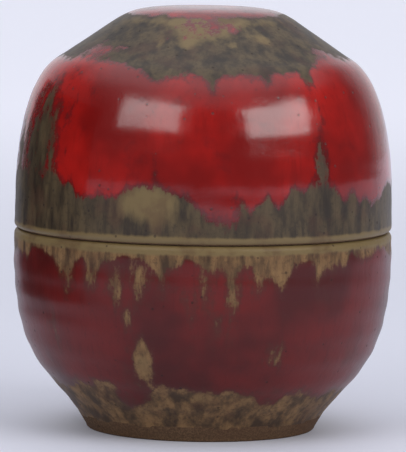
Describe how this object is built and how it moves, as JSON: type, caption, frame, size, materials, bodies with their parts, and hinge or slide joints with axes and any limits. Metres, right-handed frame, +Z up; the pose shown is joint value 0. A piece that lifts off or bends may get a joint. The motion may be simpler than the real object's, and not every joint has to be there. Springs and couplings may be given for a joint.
{
  "type": "lidded box",
  "caption": "Round lidded stoneware box: a bowl on a low foot ring with an inner locating flange, and a domed lid that lifts off.",
  "frame": {"origin": "centre of the foot ring, on the surface that the box stands on", "axes": "+Z up along the axis that both pieces were turned on; +Y away from the viewer of the front, which -Y faces; +X to the viewer's right"},
  "size_m": [0.08, 0.08, 0.0894],
  "materials": {
    "bowl_glaze": "wine-red satin glaze that thins to olive tan at the rim and the foot, over a bare stoneware ledge, flange and foot ring",
    "lid_glaze": "glossy bright red glaze that thins to olive round the crown and at the rim, over a bare stoneware seat"
  },
  "bodies": {
    "bowl_body": {"bowl": "bowl_glaze"},
    "lid_body": {"lid": "lid_glaze"}
  },
  "joints": [
    {"name": "lid_lift", "type": "slide", "parent": "bowl_body", "child": "lid_body", "axis": [0, 0, 1], "range_m": [0, 0.06]}
  ]
}
